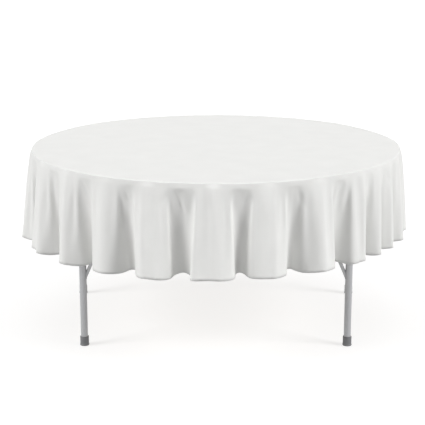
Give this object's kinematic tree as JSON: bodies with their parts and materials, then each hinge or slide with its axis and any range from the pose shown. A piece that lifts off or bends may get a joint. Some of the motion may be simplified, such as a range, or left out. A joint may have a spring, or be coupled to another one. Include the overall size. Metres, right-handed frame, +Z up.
{
  "type": "tablecloth on a table",
  "caption": "Round folding table under a white round woven cloth whose skirt hangs in soft folds to mid-leg height.",
  "frame": {"origin": "on the floor under the middle of the table", "axes": "+Z up, -Y towards the front, +X to the right seen from the front"},
  "size_m": [1.6168, 1.6252, 0.7643],
  "materials": {
    "cloth": "matt plain-woven polyester",
    "board": "lacquered plywood",
    "edge": "moulded vinyl edge",
    "leg_steel": "grey powder coat",
    "zinc_hardware": "zinc plated",
    "foot_cap": "moulded grey plastic"
  },
  "bodies": {
    "table": {"table_top": "board", "edge_band": "edge", "front_hinge_bracket_left": "zinc_hardware", "front_hinge_bracket_right": "zinc_hardware", "front_brace_anchor": "zinc_hardware", "front_anchor_pin": "zinc_hardware", "front_bracket_left_screw_1": "zinc_hardware", "front_bracket_left_screw_2": "zinc_hardware", "front_bracket_right_screw_1": "zinc_hardware", "front_bracket_right_screw_2": "zinc_hardware", "front_anchor_screw_1": "zinc_hardware", "front_anchor_screw_2": "zinc_hardware", "rear_hinge_bracket_left": "zinc_hardware", "rear_hinge_bracket_right": "zinc_hardware", "rear_brace_anchor": "zinc_hardware", "rear_anchor_pin": "zinc_hardware", "rear_bracket_left_screw_1": "zinc_hardware", "rear_bracket_left_screw_2": "zinc_hardware", "rear_bracket_right_screw_1": "zinc_hardware", "rear_bracket_right_screw_2": "zinc_hardware", "rear_anchor_screw_1": "zinc_hardware", "rear_anchor_screw_2": "zinc_hardware"},
    "front_frame": {"front_hinge_tube": "leg_steel", "front_leg_left": "leg_steel", "front_leg_right": "leg_steel", "front_strut_left": "leg_steel", "front_strut_right": "leg_steel", "front_crossbar": "leg_steel", "front_foot_cap_left": "foot_cap", "front_foot_cap_right": "foot_cap"},
    "front_lower_link": {"front_lower_link": "zinc_hardware", "front_elbow_rivet": "zinc_hardware"},
    "front_upper_link": {"front_upper_link": "zinc_hardware"},
    "rear_frame": {"rear_hinge_tube": "leg_steel", "rear_leg_left": "leg_steel", "rear_leg_right": "leg_steel", "rear_strut_left": "leg_steel", "rear_strut_right": "leg_steel", "rear_crossbar": "leg_steel", "rear_foot_cap_left": "foot_cap", "rear_foot_cap_right": "foot_cap"},
    "rear_lower_link": {"rear_lower_link": "zinc_hardware", "rear_elbow_rivet": "zinc_hardware"},
    "rear_upper_link": {"rear_upper_link": "zinc_hardware"},
    "cloth": {"tablecloth": "cloth"}
  },
  "joints": [
    {"name": "front_fold", "type": "hinge", "parent": "table", "child": "front_frame", "pos_m": [0, -0.348, 0.685], "axis": [1, 0, 0], "range_deg": [0, 90]},
    {"name": "front_upper_link_turn", "type": "hinge", "parent": "table", "child": "front_upper_link", "pos_m": [0, -0.188, 0.725], "axis": [1, 0, 0], "range_deg": [-59.5, 0]},
    {"name": "front_lower_link_turn", "type": "hinge", "parent": "front_frame", "child": "front_lower_link", "pos_m": [0, -0.348, 0.47], "axis": [1, 0, 0], "range_deg": [0, 18.3]},
    {"name": "rear_fold", "type": "hinge", "parent": "table", "child": "rear_frame", "pos_m": [0, 0.348, 0.721], "axis": [-1, 0, 0], "range_deg": [0, 90]},
    {"name": "rear_upper_link_turn", "type": "hinge", "parent": "table", "child": "rear_upper_link", "pos_m": [0, 0.188, 0.725], "axis": [-1, 0, 0], "range_deg": [-45.3, 0]},
    {"name": "rear_lower_link_turn", "type": "hinge", "parent": "rear_frame", "child": "rear_lower_link", "pos_m": [0, 0.348, 0.506], "axis": [-1, 0, 0], "range_deg": [0, 40.5]},
    {"name": "cloth_lift", "type": "slide", "parent": "table", "child": "cloth", "axis": [0, 0, 1], "range_m": [0, 0.45]}
  ],
  "couplings": [
    {"joint": "front_upper_link_turn", "follows": "front_fold", "ratio": -0.6604},
    {"joint": "front_lower_link_turn", "follows": "front_fold", "ratio": 0.2028},
    {"joint": "rear_upper_link_turn", "follows": "rear_fold", "ratio": -0.5031},
    {"joint": "rear_lower_link_turn", "follows": "rear_fold", "ratio": 0.4493}
  ]
}
